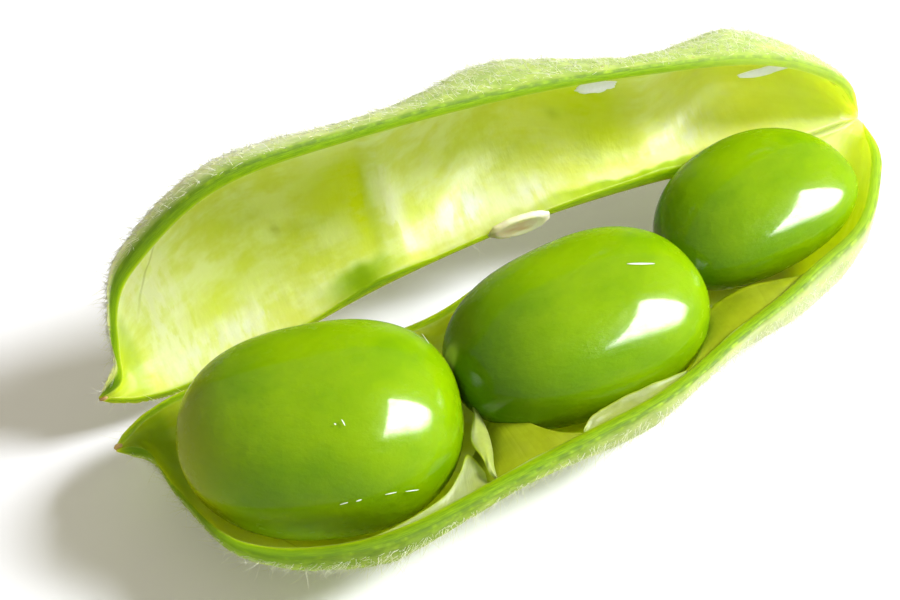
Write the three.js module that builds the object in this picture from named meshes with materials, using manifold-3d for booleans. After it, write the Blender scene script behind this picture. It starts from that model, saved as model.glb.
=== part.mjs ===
// Opened edamame pod with three beans.  Millimetres, +Z up.
// The pod is split along both seams from the beak and still grown together at the stem end.
// The lying valve rests on its belly and holds the beans; the other valve stands up behind it.
// X runs along the pod with the stem end at +X, and the standing valve is on the +Y side.
import * as THREE from 'three';
import Module from 'manifold-3d';
import { mergeVertices } from 'three/addons/utils/BufferGeometryUtils.js';

const wasm = await Module();
wasm.setup();

// ---- driving dimensions -----------------------------------------------------------------
const podLength = 47.2;          // stem joint to beak tip, straight across
const skinOutside = 0.25;        // outer skin beyond the seam line
const skinInside = 0.6;          // inner skin inside the seam line
const seeds = [9.8, 22.7, 37.2]; // middle of each bean along the pod, stem end first
const bulgeReach = [4.4, 4.7, 5.2];
const stemTaper = 0.17;          // share of the length where the stem end rounds off
const beakTaper = 0.27;          // and the beak end
const fullDepthWidth = 2.2;      // a section narrower than this is shallow too
const hollowShare = [0.055, 0.87];
const hollowLift = 2;            // how far the cut for the hollow runs out past the rim

// Where the two valves still meet, measured from the middle of the footprint.
const stemJoint = new THREE.Vector3(23.35, 3.34, 4.8);

// Each valve: depth of its belly at the three beans and between them, how boxy its section is
// beside the concave and the convex seam (2 is an ellipse), nap that its down adds to the skin,
// and its turn in degrees.  stand turns it up about its own length; yaw swings its beak back;
// pitch tips it along its length.  bows are the places where the concave seam gives way beside
// a bean: by, reach, along.
const lyingValve = {
  depths: [5.8, 5.95, 5.8],
  waist: 3.8,
  powers: [2.5, 1.75],
  nap: 0,
  bows: [[2.9, 4.4, 10.8], [2.0, 4.6, 22.8]],
  turn: { stand: 7, yaw: 0, pitch: 0 },
};
const standingValve = {
  depths: [6.1, 5.6, 4.6],
  waist: 3.2,
  powers: [2.4, 1.75],
  nap: 0.45,
  bows: [],
  turn: { stand: 86.6, yaw: 4.8, pitch: -1.3 },
};

// Seams of a valve laid flat, from the stem joint to the beak: along the pod, across it.
const concaveSeam = [[0, 0], [3.2, 0], [8, 0.3], [14.5, 1.5], [22, 2], [30, 1.2],
  [37.5, -0.6], [42.6, -1.4], [44.9, -1.1], [46, -0.6], [podLength, 0.2]];
const convexSeam = [[0, 0.5], [1.7, 4.2], [6.8, 8.15], [14.5, 10.9], [22, 12.7], [30, 13.7],
  [37.5, 13.7], [42.8, 10.2], [44.7, 5.2], [45.4, 1.7], [podLength, 0.4]];

// Beans in the lying valve's own axes.  half: length, width, height; turn: yaw, tilt, pitch.
const beans = [
  {
    name: 'bean_stem_end', at: [9.95, 3.42, 0.55], half: [5.7, 4.1, 2.9], turn: [4, -8, 4.5],
    egg: -0.04, bend: 0.6, power: 2.18,
  },
  {
    name: 'bean_middle', at: [22.7, 6.56, 0.58], half: [7.0, 5.0, 4.03], turn: [1, -4, -2],
    egg: 0, bend: 0, power: 2.3,
  },
  {
    name: 'bean_beak_end', at: [37.25, 6.2, 1.0], half: [7.15, 5.3, 5.2], turn: [-21.5, -6, -1],
    egg: -0.05, bend: -0.28, power: 2.3,
  },
];

// Strand of the concave seam that still ties the valves together at the stem end.
const strand = { length: 7.5, behindStem: 0.5, stemRadius: 1.0, lift: -0.45, back: 0.4 };

// Stalk scar of a bean on the standing valve's concave seam: a flattened ring.
const stalkScar = { along: 21.8, across: 1.75, radius: 0.9, tube: 0.5, stretch: 1.4 };

// Leaves of papery lining torn loose in the gaps between the beans: middle along the convex
// seam, half length, reach in from the rim, rise of the free tip.
const lining = { thickness: 0.6, root: 0.4, below: 0.75, steps: 8, ribs: 6 };
const liningFlaps = [
  { along: 30.2, halfLength: 1.7, reach: 3.4, rise: 0.3 },
  { along: 32.9, halfLength: 1.6, reach: 1.2, rise: 0.5 },
  { along: 14.5, halfLength: 1.6, reach: 1.3, rise: 0.3 },
];

const alongSteps = 60;
const skinGrowth = 3;            // steps from either end until the skin has its full thickness
const napGrowth = 15;            // and the nap its full depth
const acrossSteps = 16;
const beanRings = 20;
const beanSides = 30;

const podSkin = new THREE.MeshStandardMaterial({ color: 0x9ab52e, roughness: 0.62 });
const beanSkin = new THREE.MeshStandardMaterial({ color: 0x7fb80a, roughness: 0.22 });

// ---- solids ------------------------------------------------------------------------------
const degrees = THREE.MathUtils.degToRad;

// A closed solid; the faces are turned over where they come out facing inwards.
function solidFrom(points, faces) {
  const vertProperties = new Float32Array(points.flatMap((point) => point.toArray()));
  const triVerts = new Uint32Array(faces);
  const solid = new wasm.Manifold(new wasm.Mesh({ numProp: 3, vertProperties, triVerts }));
  if (solid.volume() > 0) return solid;
  triVerts.reverse();
  return new wasm.Manifold(new wasm.Mesh({ numProp: 3, vertProperties, triVerts }));
}

// Rows of points, closed round their columns, with one more point to cap each end.
function solidFromRows(rows, firstPoint, lastPoint) {
  const columns = rows[0].length;
  const points = [firstPoint, ...rows.flat(), lastPoint];
  const last = points.length - 1;
  const at = (row, column) => 1 + row * columns + (column % columns);
  const faces = [];
  for (let c = 0; c < columns; c += 1) {
    faces.push(0, at(0, c), at(0, c + 1));
    faces.push(last, at(rows.length - 1, c + 1), at(rows.length - 1, c));
    for (let r = 0; r < rows.length - 1; r += 1) {
      faces.push(at(r, c), at(r + 1, c + 1), at(r, c + 1));
      faces.push(at(r, c), at(r + 1, c), at(r + 1, c + 1));
    }
  }
  return solidFrom(points, faces);
}

function solidFromGeometry(geometry) {
  geometry.deleteAttribute('normal');
  geometry.deleteAttribute('uv');
  const merged = mergeVertices(geometry, 1e-4);
  const position = merged.attributes.position;
  const points = Array.from({ length: position.count }, (_, i) => (
    new THREE.Vector3().fromBufferAttribute(position, i)
  ));
  return solidFrom(points, merged.index.array);
}

function meshFrom(name, solid, material) {
  const { vertProperties, triVerts } = solid.getMesh();
  const geometry = new THREE.BufferGeometry();
  geometry.setAttribute('position', new THREE.BufferAttribute(vertProperties, 3));
  geometry.setIndex(new THREE.BufferAttribute(triVerts, 1));
  geometry.computeVertexNormals();
  const mesh = new THREE.Mesh(geometry, material);
  mesh.name = name;
  return mesh;
}

const signedPower = (value, power) => Math.sign(value) * Math.abs(value) ** power;

// ---- valves ------------------------------------------------------------------------------
const curveThrough = (points) => new THREE.SplineCurve(points.map((p) => new THREE.Vector2(...p)));
const concaveCurve = curveThrough(concaveSeam);
const convexCurve = curveThrough(convexSeam);

// A valve's own axes: along from stem to beak, across from the concave to the convex seam, and
// out of the hollow.  The standing valve is the lying one's mirror image, facing it (-1).
function valveFrame({ stand, yaw, pitch }, facing) {
  const along = new THREE.Vector3(-1, 0, 0);
  along.applyAxisAngle(new THREE.Vector3(0, 1, 0), degrees(pitch));
  along.applyAxisAngle(new THREE.Vector3(0, 0, 1), degrees(-yaw));
  const across = new THREE.Vector3(0, 0, 1).cross(along).normalize();
  across.applyAxisAngle(along, degrees(stand));
  const out = new THREE.Vector3().crossVectors(along, across).multiplyScalar(facing);
  return new THREE.Matrix4().makeBasis(along, across, out).setPosition(stemJoint);
}

const bump = (along, middle, reach) => Math.exp(-(((along - middle) / reach) ** 2));

function concavePoint(share, valve) {
  const point = concaveCurve.getPoint(share);
  valve.bows.forEach(([by, reach, middle]) => {
    point.y -= by * bump(point.x, middle, reach);
  });
  return point;
}

// Deep behind each bean, shallow between them and where the valve is narrow, and rounded off
// at both ends of the pod.
function depthAt(share, along, halfWidth, valve) {
  const stem = Math.max(0, 1 - share / stemTaper);
  const beak = Math.max(0, 1 - (1 - share) / beakTaper);
  const swell = seeds.map((seed, i) => (
    (valve.depths[i] - valve.waist) * bump(along, seed, bulgeReach[i])
  ));
  const depth = valve.waist + swell.reduce((sum, part) => sum + part, 0);
  const narrow = 1 - Math.exp(-halfWidth / fullDepthWidth);
  return depth * narrow * Math.sqrt((1 - stem * stem) * (1 - beak * beak));
}

// Half a superellipse from the concave seam, down and up to the convex seam, moved out of the
// seam line by outside.
function section(share, valve, outside) {
  const low = concavePoint(share, valve);
  const high = convexCurve.getPoint(share);
  const middle = low.clone().add(high).multiplyScalar(0.5);
  const direction = high.clone().sub(low).normalize();
  const halfWidth = low.distanceTo(high) / 2;
  const reach = halfWidth + outside;
  const fall = depthAt(share, middle.x, halfWidth, valve) + outside;
  return Array.from({ length: acrossSteps + 1 }, (_, k) => {
    const angle = (Math.PI * k) / acrossSteps;
    const power = valve.powers[angle > Math.PI / 2 ? 1 : 0];
    const side = reach * signedPower(-Math.cos(angle), 2 / power);
    const down = fall * signedPower(Math.sin(angle), 2 / power);
    return new THREE.Vector3(middle.x + direction.x * side, middle.y + direction.y * side, -down);
  });
}

function valveBody(valve, frame) {
  const rows = [];
  for (let i = 1; i < alongSteps; i += 1) {
    const fromEnd = Math.min(i, alongSteps - i);
    const skin = skinOutside * Math.min(1, fromEnd / skinGrowth);
    const nap = valve.nap * Math.min(1, fromEnd / napGrowth);
    rows.push(section(i / alongSteps, valve, skin + nap));
  }
  const ends = [0, 1].map((share) => {
    const tip = concaveCurve.getPoint(share).add(convexCurve.getPoint(share)).multiplyScalar(0.5);
    return new THREE.Vector3(tip.x, tip.y, 0);
  });
  const points = [...rows.flat(), ...ends];
  points.forEach((point) => point.applyMatrix4(frame));
  points.forEach((point) => point.setZ(Math.max(point.z, 0)));
  return solidFromRows(rows, ...ends);
}

function valveHollow(valve, frame) {
  const [start, end] = hollowShare;
  const rows = [];
  for (let i = 0; i <= alongSteps; i += 1) {
    const row = section(start + ((end - start) * i) / alongSteps, valve, -skinInside);
    const lid = [row[acrossSteps], row[0]].map((point) => point.clone().setZ(hollowLift));
    rows.push([...row, ...lid]);
  }
  const ends = [middleOf(rows[0]), middleOf(rows[alongSteps])];
  [...rows.flat(), ...ends].forEach((point) => point.applyMatrix4(frame));
  return solidFromRows(rows, ...ends);
}

// ---- small growths of the shell ------------------------------------------------------------
function seamStrand() {
  const { length, behindStem, stemRadius, lift, back } = strand;
  const profile = [[0, -behindStem], [0.6, -0.4], [0.95, 0], [1, 0.6], [0.85, 2], [0.6, 4.5],
    [0.4, 6.5], [0, length]];
  const outline = profile.map(([radius, along]) => new THREE.Vector2(radius * stemRadius, along));
  const lathe = new THREE.LatheGeometry(outline, 12);
  lathe.rotateZ(Math.PI / 2);
  lathe.rotateZ(degrees(-1.5));
  lathe.translate(stemJoint.x, stemJoint.y + back, stemJoint.z + lift);
  return solidFromGeometry(lathe);
}

function scarRing(frame) {
  const { along, across, radius, tube, stretch } = stalkScar;
  const torus = new THREE.TorusGeometry(radius, tube, 8, 18);
  torus.scale(stretch, 1, 1);
  torus.translate(along, across, -tube * 0.4);
  torus.applyMatrix4(frame);
  return solidFromGeometry(torus);
}

// How far along the convex seam's curve it passes a distance along the pod.
function convexShareAt(along) {
  let [low, high] = [0, 1];
  while (high - low > 1e-6) {
    const middle = (low + high) / 2;
    if (convexCurve.getPoint(middle).x < along) low = middle;
    else high = middle;
  }
  return low;
}

const middleOf = (points) => points
  .reduce((sum, point) => sum.add(point), new THREE.Vector3())
  .divideScalar(points.length);

// A rounded leaf rooted in the wall under the convex seam, lying in over the hollow.
function liningFlap({ along, halfLength, reach, rise }, frame) {
  const { thickness, root, below, steps, ribs } = lining;
  const rows = [];
  for (let i = 0; i <= steps; i += 1) {
    const side = (2 * i) / steps - 1;
    const seam = convexCurve.getPoint(convexShareAt(along + side * halfLength));
    const width = 0.4 + reach * (1 - side * side);
    const upper = Array.from({ length: ribs + 1 }, (_, k) => {
      const t = k / ribs;
      return new THREE.Vector3(seam.x, seam.y - root - width * t, rise * t * t - below);
    });
    const lower = upper.map((point) => point.clone().setZ(point.z - thickness)).reverse();
    rows.push([...upper, ...lower]);
  }
  const ends = [middleOf(rows[0]), middleOf(rows[steps])];
  [...rows.flat(), ...ends].forEach((point) => point.applyMatrix4(frame));
  return solidFromRows(rows, ...ends);
}

function podShell() {
  const lyingFrame = valveFrame(lyingValve.turn, 1);
  const standingFrame = valveFrame(standingValve.turn, -1);
  const lyingHollow = valveHollow(lyingValve, lyingFrame);
  const standingHollow = valveHollow(standingValve, standingFrame);
  const walls = valveBody(lyingValve, lyingFrame)
    .add(valveBody(standingValve, standingFrame))
    .add(seamStrand())
    .subtract(lyingHollow)
    .subtract(standingHollow)
    .add(scarRing(standingFrame));
  return liningFlaps.reduce((shell, flap) => shell.add(liningFlap(flap, lyingFrame)), walls);
}

// ---- beans -------------------------------------------------------------------------------
// A superellipsoid, fatter towards one end by egg and curved sideways by bend.
function beanSolid({ at, half, turn, egg, bend, power }, frame) {
  const [length, width, height] = half;
  const [yaw, tilt, pitch] = turn.map(degrees);
  const place = new THREE.Matrix4().makeRotationFromEuler(new THREE.Euler(tilt, pitch, yaw, 'ZYX'));
  place.setPosition(...at);
  const rows = [];
  for (let r = 1; r < beanRings; r += 1) {
    const lean = (Math.PI * r) / beanRings;
    const along = signedPower(Math.cos(lean), 2 / power);
    const girth = signedPower(Math.sin(lean), 2 / power) * (1 + egg * along);
    rows.push(Array.from({ length: beanSides }, (_, k) => {
      const angle = (2 * Math.PI * k) / beanSides;
      const side = width * girth * signedPower(Math.cos(angle), 2 / power);
      const up = height * girth * signedPower(Math.sin(angle), 2 / power);
      return new THREE.Vector3(length * along, side + bend * along * along, up);
    }));
  }
  const ends = [1, -1].map((end) => new THREE.Vector3(length * end, bend, 0));
  [...rows.flat(), ...ends].forEach((point) => point.applyMatrix4(place).applyMatrix4(frame));
  return solidFromRows(rows, ...ends);
}

// ---- the whole pod -------------------------------------------------------------------------
const pod = new THREE.Group();
pod.add(meshFrom('pod_shell', podShell(), podSkin));
const beanFrame = valveFrame(lyingValve.turn, 1);
beans.forEach((bean) => pod.add(meshFrom(bean.name, beanSolid(bean, beanFrame), beanSkin)));

export default pod;
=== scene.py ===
# Opened edamame pod: two downy valves still joined at the stem end, three glossy beans in the lying one.
import bpy
import math
import numpy as np
from mathutils import Matrix, Vector


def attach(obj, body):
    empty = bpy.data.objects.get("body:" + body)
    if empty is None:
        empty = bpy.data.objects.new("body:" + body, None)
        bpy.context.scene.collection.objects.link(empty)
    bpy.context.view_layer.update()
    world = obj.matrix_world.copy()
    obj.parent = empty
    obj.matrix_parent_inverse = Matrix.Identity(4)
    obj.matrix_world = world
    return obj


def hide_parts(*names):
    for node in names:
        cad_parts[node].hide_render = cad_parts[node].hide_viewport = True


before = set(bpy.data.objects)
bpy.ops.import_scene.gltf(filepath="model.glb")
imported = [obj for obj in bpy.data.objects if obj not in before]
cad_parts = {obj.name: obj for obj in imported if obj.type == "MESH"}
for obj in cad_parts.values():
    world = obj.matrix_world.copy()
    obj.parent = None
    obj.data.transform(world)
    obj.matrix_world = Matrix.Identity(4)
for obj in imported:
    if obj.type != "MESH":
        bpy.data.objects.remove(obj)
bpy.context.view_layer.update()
mm = 0.001
stemJoint = np.array([23.35, 3.34, 4.8])  # where the valves still meet, mm


# Catmull-Rom curve through the points: each stretch is a cubic with the neighbours' half chord as slope.
def splineAt(points, share):
    last = len(points) - 1
    place = np.clip(share, 0, 1) * last
    i = np.minimum(place.astype(int), last - 1)
    t = (place - i)[..., None]
    before, here, there, after = (points[np.clip(i + k, 0, last)] for k in (-1, 0, 1, 2))
    slopeHere, slopeThere = (there - before) / 2, (after - here) / 2
    cubic = 2 * here - 2 * there + slopeHere + slopeThere
    square = 3 * there - 3 * here - 2 * slopeHere - slopeThere
    return cubic * t**3 + square * t**2 + slopeHere * t + here


def smooth(low, high, x):
    t = np.clip((x - low) / (high - low), 0, 1)
    return t * t * (3 - 2 * t)


def bump(x, middle, reach):
    return np.exp(-(((x - middle) / reach) ** 2))


def signedPower(x, power):
    return np.sign(x) * np.abs(x) ** power


def unit(v):
    return v / np.maximum(np.linalg.norm(v, axis=-1, keepdims=True), 1e-9)


# Numbers side by side as vectors, each spread over the shape of all.
def joined(*parts):
    return np.stack(np.broadcast_arrays(*parts), -1)


# Rotation about a unit axis by the angle in degrees, as a 3 x 3 array.
def turnAbout(axis, angle):
    return np.array(Matrix.Rotation(math.radians(angle), 3, Vector(axis)))


# A valve's own axes as rows: along to the beak, across to the convex seam, out of the hollow.
def valveAxes(valve):
    along = turnAbout((0, 0, 1), -valve["yaw"]) @ turnAbout((0, 1, 0), valve["pitch"]) @ (-1, 0, 0)
    across = np.cross((0, 0, 1), along)
    across = turnAbout(along, valve["stand"]) @ (across / np.linalg.norm(across))
    return np.array([along, across, valve["facing"] * np.cross(along, across)])


def toWorld(local, valve):
    return stemJoint + local @ valveAxes(valve)


# Smooth noise from -1 to 1: a grid of random heights read with cubic easing, summed over octaves.
def noise2(x, y, seed, octaves=1):
    total = 0
    for octave in range(octaves):
        grid = np.random.default_rng(seed + octave).random((64, 64))
        u, v = x * 2**octave, y * 2**octave
        i, j = np.floor(u).astype(int), np.floor(v).astype(int)
        a, b = smooth(0, 1, u - i), smooth(0, 1, v - j)
        i, j, k, m = i % 64, j % 64, (i + 1) % 64, (j + 1) % 64
        low = grid[i, j] * (1 - a) + grid[k, j] * a
        high = grid[i, m] * (1 - a) + grid[k, m] * a
        total = total + (low * (1 - b) + high * b - 0.5) * 0.5**octave
    return total * 2


# Six times the volume that the faces close, to tell whether they look outwards.
def signedVolume(points, faces):
    total = 0
    for group in faces:
        for k in range(1, group.shape[1] - 1):
            crossed = np.cross(points[group[:, k]], points[group[:, k + 1]])
            total += np.sum(points[group[:, 0]] * crossed)
    return total


# A mesh from points in mm and groups of faces; fields are numbers or vectors kept at each point.
def newPiece(name, points, faces, material, fields=None, replaces=None):
    if signedVolume(points, faces) < 0:
        faces = [group[:, ::-1] for group in faces]
    mesh = bpy.data.meshes.new(name)
    corners = np.concatenate([group.ravel() for group in faces])
    sizes = np.concatenate([np.full(len(group), group.shape[1]) for group in faces])
    mesh.vertices.add(len(points))
    mesh.loops.add(len(corners))
    mesh.polygons.add(len(sizes))
    mesh.vertices.foreach_set("co", (points * mm).astype(np.float32).ravel())
    mesh.loops.foreach_set("vertex_index", corners.astype(np.int32))
    mesh.polygons.foreach_set("loop_start", (np.cumsum(sizes) - sizes).astype(np.int32))
    mesh.polygons.foreach_set("use_smooth", np.ones(len(sizes), bool))
    for field, values in (fields or {}).items():
        kind, key = ("FLOAT", "value") if values.ndim == 1 else ("FLOAT_VECTOR", "vector")
        layer = mesh.attributes.new(field, kind, "POINT")
        layer.data.foreach_set(key, values.astype(np.float32).ravel())
    mesh.update(calc_edges=True)
    mesh.validate()
    mesh.materials.append(material)
    piece = bpy.data.objects.new(name, mesh)
    bpy.context.scene.collection.objects.link(piece)
    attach(piece, "root")
    if replaces:
        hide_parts(replaces)
    print(f"{name}: {len(sizes)} faces")


# Faces of a grid of rows by columns that is closed round its columns.
def roundFaces(rows, columns):
    r = np.arange(rows - 1)[:, None] * columns
    c = np.arange(columns)[None, :]
    after = (c + 1) % columns
    return np.stack([r + c, r + after, r + columns + after, r + columns + c], -1).reshape(-1, 4)


# A tube's grid with one more point at each end: fans of triangles close it.
def tubeFaces(rows, columns):
    c = np.arange(columns)
    after = (c + 1) % columns
    first, last = rows * columns, rows * columns + 1
    low = np.stack([np.full(columns, first), after, c], -1)
    top = (rows - 1) * columns
    high = np.stack([np.full(columns, last), top + c, top + after], -1)
    return [roundFaces(rows, columns), np.concatenate([low, high])]


# The grid's rows as one closed tube: its points and each field with the end points' values added.
def closedEnds(grid, *fields):
    ends = np.stack([grid[0].mean(0), grid[-1].mean(0)])
    points = np.concatenate([grid.reshape(-1, 3), ends])
    grown = []
    for values in fields:
        flat = np.broadcast_to(values, grid.shape[:2] + values.shape[2:])
        flat = flat.reshape((-1,) + values.shape[2:])
        grown.append(np.concatenate([flat, flat[:1], flat[-1:]]))
    return [points] + grown


# Angles of a ball's rings, its poles left out, and of its sides.
def ballAngles(rings, sides):
    return np.pi * np.arange(1, rings)[:, None] / rings, 2 * np.pi * np.arange(sides)[None, :] / sides


# Points of a unit ball along x: (cos lean, girth cos a, girth sin a), girth = lumpy times sin lean.
def roundGrid(rings, sides, lumpy=1):
    lean, a = ballAngles(rings, sides)
    girth = np.sin(lean) * lumpy
    return joined(np.cos(lean), girth * np.cos(a), girth * np.sin(a))


# A closed ball from its grid, turned and set down in a valve's axes as its dictionary says.
def placedBall(name, grid, look, valve, material, fields=None):
    points = closedEnds(grid)[0] @ turnAbout((0, 0, 1), look["turn"]).T + look["at"]
    newPiece(name, toWorld(points, valve), tubeFaces(*grid.shape[:2]), material, fields)


# A colour from 0-255 screen values, in linear light.
def tone(red, green, blue):
    return tuple((c / 255) ** 2.2 for c in (red, green, blue)) + (1,)


# An input given a socket is linked, anything else is a value.
def setInputs(tree, node, inputs):
    for key, value in inputs.items():
        if isinstance(value, bpy.types.NodeSocket):
            tree.links.new(value, node.inputs[key])
        else:
            node.inputs[key].default_value = value


def addNode(tree, kind, inputs=None, **settings):
    made = tree.nodes.new(kind)
    for key, value in settings.items():
        setattr(made, key, value)
    setInputs(tree, made, inputs or {})
    return made


def mixed(tree, factor, low, high):
    return addNode(tree, "ShaderNodeMix", {0: factor, 6: low, 7: high}, data_type="RGBA").outputs[2]


def maths(tree, operation, a, b=0.0, clamp=False):
    return addNode(tree, "ShaderNodeMath", {0: a, 1: b}, operation=operation, use_clamp=clamp).outputs[0]


def times(tree, a, b, clamp=False):
    return maths(tree, "MULTIPLY", a, b, clamp)


def ramped(tree, value, start, end, low=0.0, high=1.0):
    inputs = {"Value": value, "From Min": start, "From Max": end, "To Min": low, "To Max": high}
    return addNode(tree, "ShaderNodeMapRange", inputs, interpolation_type="SMOOTHSTEP").outputs[0]


def fieldVector(tree, name):
    return addNode(tree, "ShaderNodeAttribute", attribute_name=name).outputs["Vector"]


def partsOf(tree, vector):
    return addNode(tree, "ShaderNodeSeparateXYZ", {0: vector}).outputs


def noiseAt(tree, vector, scale, detail=2.0, roughness=0.5):
    inputs = {"Vector": vector, "Scale": scale, "Detail": detail, "Roughness": roughness}
    return addNode(tree, "ShaderNodeTexNoise", inputs).outputs["Fac"]


# A soft mask: noise at a scale, cut between two levels. The wall, the beans and the small pieces use it.
def mottleGroup():
    tree = bpy.data.node_groups.new("mottle", "ShaderNodeTree")
    for name in ("Vector", "Scale", "Low", "High"):
        kind = "NodeSocketVector" if name == "Vector" else "NodeSocketFloat"
        tree.interface.new_socket(name, in_out="INPUT", socket_type=kind)
    tree.interface.new_socket("Mask", in_out="OUTPUT", socket_type="NodeSocketFloat")
    given = addNode(tree, "NodeGroupInput").outputs
    noise = noiseAt(tree, given["Vector"], given["Scale"], 4.0, 0.55)
    addNode(tree, "NodeGroupOutput", {0: ramped(tree, noise, given["Low"], given["High"])})
    return tree


mottle = mottleGroup()


def mottled(tree, vector, scale, low=0.4, high=0.6):
    inputs = {"Vector": vector, "Scale": scale, "Low": low, "High": high}
    return addNode(tree, "ShaderNodeGroup", inputs, node_tree=mottle).outputs[0]


def stretched(tree, vector, scale):
    return addNode(tree, "ShaderNodeMapping", {"Vector": vector, "Scale": scale}).outputs[0]


def bumped(tree, height, strength, distance):
    inputs = {"Height": height, "Strength": strength, "Distance": distance}
    return addNode(tree, "ShaderNodeBump", inputs).outputs[0]


def newMaterial(name):
    material = bpy.data.materials.new(name)
    material.use_nodes = True
    tree = material.node_tree
    return material, tree, tree.nodes["Principled BSDF"]


wallLook = {
    "skin": tone(124, 150, 30),
    "skinPale": tone(156, 176, 72),
    "nap": tone(238, 240, 204),  # painted sheen of the down seen edge on
    "bumps": tone(88, 118, 8),
    "rim": tone(108, 142, 0),
    "rimPale": tone(134, 166, 0),
    "rimDark": tone(86, 114, 0),
    "lip": tone(166, 192, 16),  # thin pale line where the rim meets the lining
    "lining": tone(202, 215, 94),
    "liningPale": tone(218, 234, 160),
    "lime": tone(194, 210, 8),
    # whitish wet fibres, their white partly a painted highlight of the wet lining
    "milk": tone(234, 242, 214),
    "olive": tone(132, 136, 4),
    "paintedGlow": tone(230, 236, 124),  # painted light: the lining made paler near the stem
    "stem": tone(198, 214, 122),  # lining right at the joint
    "brown": tone(120, 78, 24),
}


# Pod wall. Fields: zone = (inner, rim, beak end), stain = (lime, milk inside, partly painted highlight, and
# the down's painted sheen outside, olive, partly painted shade at the beak), spot = (along in cm, round from
# 0 to 2.2, inner).
def wallMaterial():
    material, tree, shader = newMaterial("podWall")
    look = wallLook
    inner, rim, beak = partsOf(tree, fieldVector(tree, "zone"))
    lime, milk, olive = partsOf(tree, fieldVector(tree, "stain"))
    spot = fieldVector(tree, "spot")
    along, across, _ = partsOf(tree, spot)
    # outer skin: mottled, dark bumps at the hair roots, a few brown specks, and a painted sheen where its
    # down is seen edge on
    skin = mixed(tree, mottled(tree, spot, 9.0, 0.35, 0.65), look["skin"], look["skinPale"])
    roots = addNode(tree, "ShaderNodeTexVoronoi", {"Vector": spot, "Scale": 22.0})
    isRoot = ramped(tree, roots.outputs["Distance"], 0.34, 0.12, 0.0, 0.55)
    skin = mixed(tree, isRoot, skin, look["bumps"])
    specks = addNode(tree, "ShaderNodeTexVoronoi", {"Vector": spot, "Scale": 8.0})
    isSpeck = ramped(tree, specks.outputs["Distance"], 0.1, 0.05, 0.0, 0.8)
    skin = mixed(tree, isSpeck, skin, look["brown"])
    # painted sheen: the skin turns pale where it is seen edge on, as the down catches the light
    facing = addNode(tree, "ShaderNodeLayerWeight", {"Blend": 0.35}).outputs["Facing"]
    skin = mixed(tree, times(tree, facing, milk, clamp=True), skin, look["nap"])
    # lining: pale ground, painted light near the stem, lime and olive stains with painted shade at the beak,
    # wet whitish fibres partly painted highlight
    lining = mixed(tree, mottled(tree, spot, 3.0, 0.38, 0.64), look["lining"], look["liningPale"])
    # painted light: the lining turns paler towards the stem, as if lit through the thin wall
    lining = mixed(tree, ramped(tree, along, 2.4, 0.6, 0.0, 0.6), lining, look["paintedGlow"])
    threads = mottled(tree, stretched(tree, spot, (1.0, 2.5, 1.0)), 3.5, 0.4, 0.7)
    lining = mixed(tree, times(tree, threads, 0.16), lining, look["lime"])
    cloudy = ramped(tree, mottled(tree, spot, 6.0, 0.25, 0.7), 0, 1, 0.6, 1.1)
    lining = mixed(tree, times(tree, lime, cloudy), lining, look["lime"])
    lining = mixed(tree, olive, lining, look["olive"])
    fibre = mottled(tree, stretched(tree, spot, (7.0, 1.2, 1.0)), 2.4, 0.36, 0.62)
    # painted highlight: the wet fibres are whitened partly to stand for the shine of the wet lining
    wet = times(tree, milk, ramped(tree, fibre, 0, 1, 0.35, 1.15), clamp=True)
    lining = mixed(tree, wet, lining, look["milk"])
    lining = mixed(tree, ramped(tree, along, 0.6, 0.1, 0.0, 0.9), lining, look["stem"])
    # a peeled edge across the imprint next to the beak: along + across / 2 + noise = 4.93
    line = maths(tree, "ADD", along, times(tree, across, 0.5))
    line = maths(tree, "ADD", line, times(tree, noiseAt(tree, spot, 2.5), 0.12))
    line = ramped(tree, maths(tree, "ABSOLUTE", maths(tree, "SUBTRACT", line, 4.93)), 0.014, 0.003)
    line = times(tree, line, ramped(tree, across, 0.9, 1.2, 0.0, 0.35))
    lining = mixed(tree, line, lining, look["olive"])
    # rim: saturated green, darker at its outer edge, with painted shade towards the beak end and a pale lip
    # inside
    streaks = mottled(tree, stretched(tree, spot, (1.0, 0.3, 1.0)), 12.0)
    rimColour = mixed(tree, streaks, look["rim"], look["rimPale"])
    edge = times(tree, ramped(tree, inner, 0.3, 0.0), mottled(tree, spot, 16.0, 0.35, 0.6))
    rimColour = mixed(tree, edge, rimColour, look["rimDark"])
    # painted shade: the rim darkens towards the beak end
    rimColour = mixed(tree, ramped(tree, along, 2.8, 4.6, 0.0, 0.7), rimColour, look["rimDark"])
    rimColour = mixed(tree, ramped(tree, inner, 0.6, 1.0, 0.0, 0.5), rimColour, look["lip"])
    # olive stains darken the rim too; at the lying valve's beak end this is painted shade
    rimColour = mixed(tree, olive, rimColour, look["rimDark"])
    colour = mixed(tree, inner, skin, lining)
    colour = mixed(tree, rim, colour, rimColour)
    colour = mixed(tree, beak, colour, look["brown"])
    rough = ramped(tree, inner, 0.0, 1.0, 0.75, 0.42)
    rough = maths(tree, "SUBTRACT", rough, times(tree, wet, 0.25))
    wrinkles = noiseAt(tree, stretched(tree, spot, (6.0, 1.6, 1.0)), 3.0, 3.0)
    height = mixed(tree, inner, noiseAt(tree, spot, 45.0, 3.0), wrinkles)
    setInputs(tree, shader, {
        "Base Color": colour, "Roughness": rough, "Normal": bumped(tree, height, 0.3, 0.00012),
        "Subsurface Weight": 0.85, "Subsurface Scale": 0.004, "Subsurface Radius": (0.85, 1.0, 0.16),
        "Specular IOR Level": 0.2})
    return material


beanLook = {
    "green": tone(126, 162, 0),
    "deep": tone(100, 142, 0),
    "yellow": tone(156, 160, 0),
    "shade": tone(78, 116, 0),
    "hilum": tone(178, 196, 96),
    "brown": tone(120, 104, 20),
}
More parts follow.
